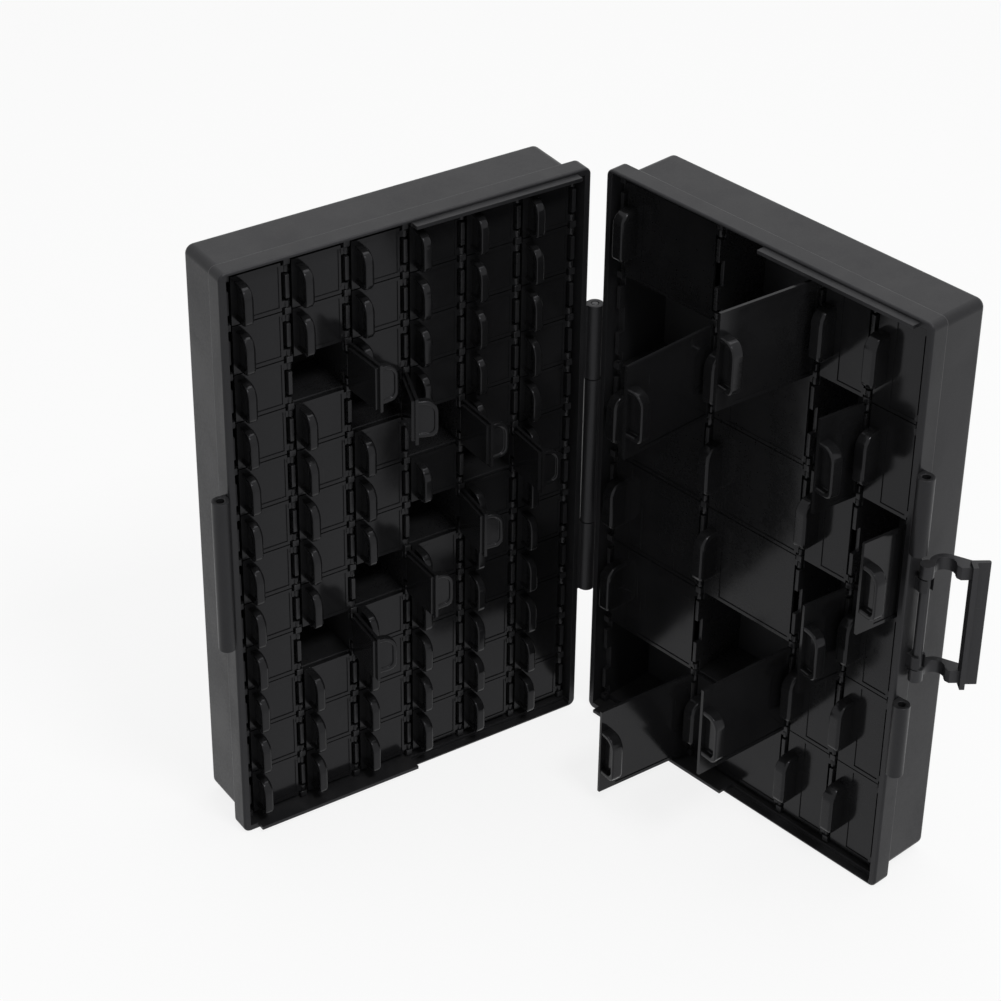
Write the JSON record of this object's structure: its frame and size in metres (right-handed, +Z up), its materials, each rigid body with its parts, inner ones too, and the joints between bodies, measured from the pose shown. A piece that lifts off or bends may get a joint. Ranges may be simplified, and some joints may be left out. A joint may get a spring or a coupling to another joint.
{
  "type": "compartment storage box",
  "caption": "Book-like black plastic case, stood open at its hinge, with a grid of small lidded compartments in one half, larger ones in the other, and a bail latch.",
  "frame": {"origin": "on the axis of the case hinge, at the plane that the open case stands on", "axes": "+Z up along the case hinge, the left half along -X with its open side facing -Y"},
  "size_m": [0.1899, 0.1725, 0.21],
  "materials": {
    "shell": "satin, fine spark texture",
    "lid": "glossy as moulded",
    "latch": "satin as moulded",
    "pin": "smooth"
  },
  "bodies": {
    "left_half": {"left_tray": "shell", "left_column_walls": "shell", "left_row_walls": "shell", "left_idle_knuckle": "shell"},
    "hinge_pin": {"hinge_pin": "pin"},
    "right_half": {"right_tray": "shell", "right_column_walls": "shell", "right_row_walls": "shell", "right_idle_knuckles": "shell"},
    "latch": {"latch": "latch"},
    "left_lid_c2_r3": {"left_lid_c2_r3": "lid"},
    "left_lid_c3_r4": {"left_lid_c3_r4": "lid"},
    "left_lid_c4_r5": {"left_lid_c4_r5": "lid"},
    "left_lid_c5_r6": {"left_lid_c5_r6": "lid"},
    "left_lid_c4_r7": {"left_lid_c4_r7": "lid"},
    "left_lid_c3_r8": {"left_lid_c3_r8": "lid"},
    "left_lid_c2_r9": {"left_lid_c2_r9": "lid"},
    "left_lids_c1_r1_4": {"left_lids_c1_r1_4": "lid"},
    "left_lids_c1_r5_8": {"left_lids_c1_r5_8": "lid"},
    "left_lids_c1_r9_12": {"left_lids_c1_r9_12": "lid"},
    "left_lids_c2_r1_2": {"left_lids_c2_r1_2": "lid"},
    "left_lids_c2_r4_8": {"left_lids_c2_r4_8": "lid"},
    "left_lids_c2_r10_12": {"left_lids_c2_r10_12": "lid"},
    "left_lids_c3_r1_3": {"left_lids_c3_r1_3": "lid"},
    "left_lids_c3_r5_7": {"left_lids_c3_r5_7": "lid"},
    "left_lids_c3_r9_12": {"left_lids_c3_r9_12": "lid"},
    "left_lids_c4_r1_4": {"left_lids_c4_r1_4": "lid"},
    "left_lids_c4_r6_6": {"left_lids_c4_r6_6": "lid"},
    "left_lids_c4_r8_12": {"left_lids_c4_r8_12": "lid"},
    "left_lids_c5_r1_3": {"left_lids_c5_r1_3": "lid"},
    "left_lids_c5_r4_5": {"left_lids_c5_r4_5": "lid"},
    "left_lids_c5_r7_9": {"left_lids_c5_r7_9": "lid"},
    "left_lids_c5_r10_12": {"left_lids_c5_r10_12": "lid"},
    "left_lids_c6_r1_4": {"left_lids_c6_r1_4": "lid"},
    "left_lids_c6_r5_8": {"left_lids_c6_r5_8": "lid"},
    "left_lids_c6_r9_12": {"left_lids_c6_r9_12": "lid"},
    "right_lid_a1": {"right_lid_a1": "lid"},
    "right_lid_a2": {"right_lid_a2": "lid"},
    "right_lid_a3": {"right_lid_a3": "lid"},
    "right_lid_a4": {"right_lid_a4": "lid"},
    "right_lid_a5": {"right_lid_a5": "lid"},
    "right_lid_a6": {"right_lid_a6": "lid"},
    "right_lid_b1": {"right_lid_b1": "lid"},
    "right_lid_b2": {"right_lid_b2": "lid"},
    "right_lid_b3": {"right_lid_b3": "lid"},
    "right_lid_b4": {"right_lid_b4": "lid"},
    "right_lid_b5": {"right_lid_b5": "lid"},
    "right_lid_b6": {"right_lid_b6": "lid"},
    "right_lid_c1": {"right_lid_c1": "lid"},
    "right_lid_c2": {"right_lid_c2": "lid"},
    "right_lid_c3": {"right_lid_c3": "lid"},
    "right_lid_c4": {"right_lid_c4": "lid"},
    "right_lid_c5": {"right_lid_c5": "lid"},
    "right_lid_c6": {"right_lid_c6": "lid"},
    "right_lid_d1": {"right_lid_d1": "lid"},
    "right_lid_d2": {"right_lid_d2": "lid"},
    "right_lid_d3": {"right_lid_d3": "lid"},
    "right_lid_d4": {"right_lid_d4": "lid"},
    "right_lid_d5": {"right_lid_d5": "lid"},
    "right_lid_d6": {"right_lid_d6": "lid"}
  },
  "joints": [
    {"name": "case_closing", "type": "hinge", "parent": "left_half", "child": "hinge_pin", "pos_m": [0, 0, 0.105], "axis": [0, 0, 1], "range_deg": [-50.15, 0]},
    {"name": "case_swing", "type": "hinge", "parent": "hinge_pin", "child": "right_half", "pos_m": [0, 0, 0.105], "axis": [0, 0, 1], "range_deg": [-50, 79.85]},
    {"name": "latch_swing", "type": "hinge", "parent": "right_half", "child": "latch", "pos_m": [0.02981, -0.13415, 0.105], "axis": [0, 0, 1], "range_deg": [-138.5, 30]},
    {"name": "left_lid_c2_r3_swing", "type": "hinge", "parent": "left_half", "child": "left_lid_c2_r3", "pos_m": [-0.0894, 0.0045, 0.16398], "axis": [0, 0, 1], "range_deg": [-93, 0]},
    {"name": "left_lid_c3_r4_swing", "type": "hinge", "parent": "left_half", "child": "left_lid_c3_r4", "pos_m": [-0.0688, 0.0045, 0.14713], "axis": [0, 0, 1], "range_deg": [-70, 0]},
    {"name": "left_lid_c4_r5_swing", "type": "hinge", "parent": "left_half", "child": "left_lid_c4_r5", "pos_m": [-0.0482, 0.0045, 0.13028], "axis": [0, 0, 1], "range_deg": [-90, 0]},
    {"name": "left_lid_c5_r6_swing", "type": "hinge", "parent": "left_half", "child": "left_lid_c5_r6", "pos_m": [-0.0276, 0.0045, 0.11342], "axis": [0, 0, 1], "range_deg": [-88, 0]},
    {"name": "left_lid_c4_r7_swing", "type": "hinge", "parent": "left_half", "child": "left_lid_c4_r7", "pos_m": [-0.0482, 0.0045, 0.09657], "axis": [0, 0, 1], "range_deg": [-84, 0]},
    {"name": "left_lid_c3_r8_swing", "type": "hinge", "parent": "left_half", "child": "left_lid_c3_r8", "pos_m": [-0.0688, 0.0045, 0.07973], "axis": [0, 0, 1], "range_deg": [-90, 0]},
    {"name": "left_lid_c2_r9_swing", "type": "hinge", "parent": "left_half", "child": "left_lid_c2_r9", "pos_m": [-0.0894, 0.0045, 0.06288], "axis": [0, 0, 1], "range_deg": [-86, 0]},
    {"name": "left_lids_c1_r1_4_swing", "type": "hinge", "parent": "left_half", "child": "left_lids_c1_r1_4", "pos_m": [-0.11, 0.0045, 0.16398], "axis": [0, 0, 1], "range_deg": [0, 105]},
    {"name": "left_lids_c1_r5_8_swing", "type": "hinge", "parent": "left_half", "child": "left_lids_c1_r5_8", "pos_m": [-0.11, 0.0045, 0.09657], "axis": [0, 0, 1], "range_deg": [0, 105]},
    {"name": "left_lids_c1_r9_12_swing", "type": "hinge", "parent": "left_half", "child": "left_lids_c1_r9_12", "pos_m": [-0.11, 0.0045, 0.02917], "axis": [0, 0, 1], "range_deg": [0, 105]},
    {"name": "left_lids_c2_r1_2_swing", "type": "hinge", "parent": "left_half", "child": "left_lids_c2_r1_2", "pos_m": [-0.0894, 0.0045, 0.18083], "axis": [0, 0, 1], "range_deg": [0, 105]},
    {"name": "left_lids_c2_r4_8_swing", "type": "hinge", "parent": "left_half", "child": "left_lids_c2_r4_8", "pos_m": [-0.0894, 0.0045, 0.105], "axis": [0, 0, 1], "range_deg": [0, 105]},
    {"name": "left_lids_c2_r10_12_swing", "type": "hinge", "parent": "left_half", "child": "left_lids_c2_r10_12", "pos_m": [-0.0894, 0.0045, 0.02075], "axis": [0, 0, 1], "range_deg": [0, 105]},
    {"name": "left_lids_c3_r1_3_swing", "type": "hinge", "parent": "left_half", "child": "left_lids_c3_r1_3", "pos_m": [-0.0688, 0.0045, 0.1724], "axis": [0, 0, 1], "range_deg": [0, 105]},
    {"name": "left_lids_c3_r5_7_swing", "type": "hinge", "parent": "left_half", "child": "left_lids_c3_r5_7", "pos_m": [-0.0688, 0.0045, 0.105], "axis": [0, 0, 1], "range_deg": [0, 105]},
    {"name": "left_lids_c3_r9_12_swing", "type": "hinge", "parent": "left_half", "child": "left_lids_c3_r9_12", "pos_m": [-0.0688, 0.0045, 0.02917], "axis": [0, 0, 1], "range_deg": [0, 105]},
    {"name": "left_lids_c4_r1_4_swing", "type": "hinge", "parent": "left_half", "child": "left_lids_c4_r1_4", "pos_m": [-0.0482, 0.0045, 0.16398], "axis": [0, 0, 1], "range_deg": [0, 105]},
    {"name": "left_lids_c4_r6_6_swing", "type": "hinge", "parent": "left_half", "child": "left_lids_c4_r6_6", "pos_m": [-0.0482, 0.0045, 0.105], "axis": [0, 0, 1], "range_deg": [0, 105]},
    {"name": "left_lids_c4_r8_12_swing", "type": "hinge", "parent": "left_half", "child": "left_lids_c4_r8_12", "pos_m": [-0.0482, 0.0045, 0.0376], "axis": [0, 0, 1], "range_deg": [0, 105]},
    {"name": "left_lids_c5_r1_3_swing", "type": "hinge", "parent": "left_half", "child": "left_lids_c5_r1_3", "pos_m": [-0.0276, 0.0045, 0.1724], "axis": [0, 0, 1], "range_deg": [0, 105]},
    {"name": "left_lids_c5_r4_5_swing", "type": "hinge", "parent": "left_half", "child": "left_lids_c5_r4_5", "pos_m": [-0.0276, 0.0045, 0.13028], "axis": [0, 0, 1], "range_deg": [0, 105]},
    {"name": "left_lids_c5_r7_9_swing", "type": "hinge", "parent": "left_half", "child": "left_lids_c5_r7_9", "pos_m": [-0.0276, 0.0045, 0.0713], "axis": [0, 0, 1], "range_deg": [0, 105]},
    {"name": "left_lids_c5_r10_12_swing", "type": "hinge", "parent": "left_half", "child": "left_lids_c5_r10_12", "pos_m": [-0.0276, 0.0045, 0.02075], "axis": [0, 0, 1], "range_deg": [0, 105]},
    {"name": "left_lids_c6_r1_4_swing", "type": "hinge", "parent": "left_half", "child": "left_lids_c6_r1_4", "pos_m": [-0.007, 0.0045, 0.16398], "axis": [0, 0, 1], "range_deg": [0, 75]},
    {"name": "left_lids_c6_r5_8_swing", "type": "hinge", "parent": "left_half", "child": "left_lids_c6_r5_8", "pos_m": [-0.007, 0.0045, 0.09657], "axis": [0, 0, 1], "range_deg": [0, 75]},
    {"name": "left_lids_c6_r9_12_swing", "type": "hinge", "parent": "left_half", "child": "left_lids_c6_r9_12", "pos_m": [-0.007, 0.0045, 0.02917], "axis": [0, 0, 1], "range_deg": [0, 75]},
    {"name": "right_lid_a1_swing", "type": "hinge", "parent": "right_half", "child": "right_lid_a1", "pos_m": [0.01292, -0.04665, 0.18925], "axis": [0, 0, 1], "range_deg": [0, 105]},
    {"name": "right_lid_a2_swing", "type": "hinge", "parent": "right_half", "child": "right_lid_a2", "pos_m": [0.01292, -0.04665, 0.15555], "axis": [0, 0, 1], "range_deg": [-90, 0]},
    {"name": "right_lid_a3_swing", "type": "hinge", "parent": "right_half", "child": "right_lid_a3", "pos_m": [0.01292, -0.04665, 0.12185], "axis": [0, 0, 1], "range_deg": [0, 105]},
    {"name": "right_lid_a4_swing", "type": "hinge", "parent": "right_half", "child": "right_lid_a4", "pos_m": [0.01292, -0.04665, 0.08815], "axis": [0, 0, 1], "range_deg": [0, 105]},
    {"name": "right_lid_a5_swing", "type": "hinge", "parent": "right_half", "child": "right_lid_a5", "pos_m": [0.01292, -0.04665, 0.05445], "axis": [0, 0, 1], "range_deg": [0, 105]},
    {"name": "right_lid_a6_swing", "type": "hinge", "parent": "right_half", "child": "right_lid_a6", "pos_m": [0.01292, -0.04665, 0.02075], "axis": [0, 0, 1], "range_deg": [-82, 0]},
    {"name": "right_lid_b1_swing", "type": "hinge", "parent": "right_half", "child": "right_lid_b1", "pos_m": [0.02018, -0.08721, 0.18925], "axis": [0, 0, 1], "range_deg": [-82, 0]},
    {"name": "right_lid_b2_swing", "type": "hinge", "parent": "right_half", "child": "right_lid_b2", "pos_m": [0.02018, -0.08721, 0.15555], "axis": [0, 0, 1], "range_deg": [0, 105]},
    {"name": "right_lid_b3_swing", "type": "hinge", "parent": "right_half", "child": "right_lid_b3", "pos_m": [0.02018, -0.08721, 0.12185], "axis": [0, 0, 1], "range_deg": [0, 105]},
    {"name": "right_lid_b4_swing", "type": "hinge", "parent": "right_half", "child": "right_lid_b4", "pos_m": [0.02018, -0.08721, 0.08815], "axis": [0, 0, 1], "range_deg": [0, 105]},
    {"name": "right_lid_b5_swing", "type": "hinge", "parent": "right_half", "child": "right_lid_b5", "pos_m": [0.02018, -0.08721, 0.05445], "axis": [0, 0, 1], "range_deg": [-86, 0]},
    {"name": "right_lid_b6_swing", "type": "hinge", "parent": "right_half", "child": "right_lid_b6", "pos_m": [0.02018, -0.08721, 0.02075], "axis": [0, 0, 1], "range_deg": [0, 105]},
    {"name": "right_lid_c1_swing", "type": "hinge", "parent": "right_half", "child": "right_lid_c1", "pos_m": [0.02381, -0.10749, 0.18925], "axis": [0, 0, 1], "range_deg": [0, 105]},
    {"name": "right_lid_c2_swing", "type": "hinge", "parent": "right_half", "child": "right_lid_c2", "pos_m": [0.02381, -0.10749, 0.15555], "axis": [0, 0, 1], "range_deg": [-82, 0]},
    {"name": "right_lid_c3_swing", "type": "hinge", "parent": "right_half", "child": "right_lid_c3", "pos_m": [0.02381, -0.10749, 0.12185], "axis": [0, 0, 1], "range_deg": [0, 105]},
    {"name": "right_lid_c4_swing", "type": "hinge", "parent": "right_half", "child": "right_lid_c4", "pos_m": [0.02381, -0.10749, 0.08815], "axis": [0, 0, 1], "range_deg": [-82, 0]},
    {"name": "right_lid_c5_swing", "type": "hinge", "parent": "right_half", "child": "right_lid_c5", "pos_m": [0.02381, -0.10749, 0.05445], "axis": [0, 0, 1], "range_deg": [0, 105]},
    {"name": "right_lid_c6_swing", "type": "hinge", "parent": "right_half", "child": "right_lid_c6", "pos_m": [0.02381, -0.10749, 0.02075], "axis": [0, 0, 1], "range_deg": [0, 105]},
    {"name": "right_lid_d1_swing", "type": "hinge", "parent": "right_half", "child": "right_lid_d1", "pos_m": [0.02744, -0.12776, 0.18925], "axis": [0, 0, 1], "range_deg": [0, 92]},
    {"name": "right_lid_d2_swing", "type": "hinge", "parent": "right_half", "child": "right_lid_d2", "pos_m": [0.02744, -0.12776, 0.15555], "axis": [0, 0, 1], "range_deg": [0, 92]},
    {"name": "right_lid_d3_swing", "type": "hinge", "parent": "right_half", "child": "right_lid_d3", "pos_m": [0.02744, -0.12776, 0.12185], "axis": [0, 0, 1], "range_deg": [-82, 0]},
    {"name": "right_lid_d4_swing", "type": "hinge", "parent": "right_half", "child": "right_lid_d4", "pos_m": [0.02744, -0.12776, 0.08815], "axis": [0, 0, 1], "range_deg": [0, 92]},
    {"name": "right_lid_d5_swing", "type": "hinge", "parent": "right_half", "child": "right_lid_d5", "pos_m": [0.02744, -0.12776, 0.05445], "axis": [0, 0, 1], "range_deg": [0, 92]},
    {"name": "right_lid_d6_swing", "type": "hinge", "parent": "right_half", "child": "right_lid_d6", "pos_m": [0.02744, -0.12776, 0.02075], "axis": [0, 0, 1], "range_deg": [0, 92]}
  ],
  "couplings": [
    {"joint": "left_lid_c2_r3_swing", "follows": "case_closing", "ratio": 1.8544},
    {"joint": "left_lid_c3_r4_swing", "follows": "case_closing", "ratio": 1.3958},
    {"joint": "left_lid_c4_r5_swing", "follows": "case_closing", "ratio": 1.7946},
    {"joint": "left_lid_c5_r6_swing", "follows": "case_closing", "ratio": 1.7547},
    {"joint": "left_lid_c4_r7_swing", "follows": "case_closing", "ratio": 1.675},
    {"joint": "left_lid_c3_r8_swing", "follows": "case_closing", "ratio": 1.7946},
    {"joint": "left_lid_c2_r9_swing", "follows": "case_closing", "ratio": 1.7149},
    {"joint": "right_lid_a2_swing", "follows": "case_closing", "ratio": 1.7946},
    {"joint": "right_lid_a6_swing", "follows": "case_closing", "ratio": 1.6351},
    {"joint": "right_lid_b1_swing", "follows": "case_closing", "ratio": 1.6351},
    {"joint": "right_lid_b5_swing", "follows": "case_closing", "ratio": 1.7149},
    {"joint": "right_lid_c2_swing", "follows": "case_closing", "ratio": 1.6351},
    {"joint": "right_lid_c4_swing", "follows": "case_closing", "ratio": 1.6351},
    {"joint": "right_lid_d3_swing", "follows": "case_closing", "ratio": 1.6351}
  ]
}
